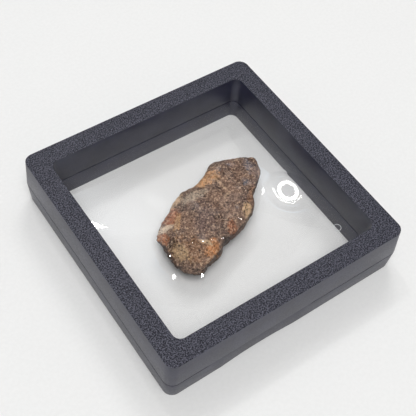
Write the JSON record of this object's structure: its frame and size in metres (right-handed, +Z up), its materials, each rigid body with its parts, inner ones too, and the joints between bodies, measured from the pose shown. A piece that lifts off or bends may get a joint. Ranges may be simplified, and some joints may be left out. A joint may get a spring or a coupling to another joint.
{
  "type": "framed iron meteorite",
  "caption": "Iron meteorite fragment clamped between two stretched clear films in a square black hinged display frame.",
  "frame": {"origin": "middle of the whole outline, hinge included, on the surface that the frame lies on", "axes": "+Z up through the films and windows, +Y towards the hinge side, -Y the side with the finger notch, +X along that side"},
  "size_m": [0.09, 0.0922, 0.0192],
  "materials": {
    "frame_plastic": "black moulded plastic, fine sand grain on the faces, smoother sides",
    "clear_film": "clear elastic film, glossy, tight",
    "rusted_iron": "weathered iron crust, brown and grey with rust orange patches"
  },
  "bodies": {
    "lower": {"lower_frame": "frame_plastic", "lower_film": "clear_film", "meteorite": "rusted_iron"},
    "upper": {"upper_frame": "frame_plastic", "upper_film": "clear_film"}
  },
  "joints": [
    {"name": "frame_hinge", "type": "hinge", "parent": "lower", "child": "upper", "pos_m": [0, 0.0446, 0.00962], "axis": [-1, 0, 0], "range_deg": [0, 180]}
  ]
}
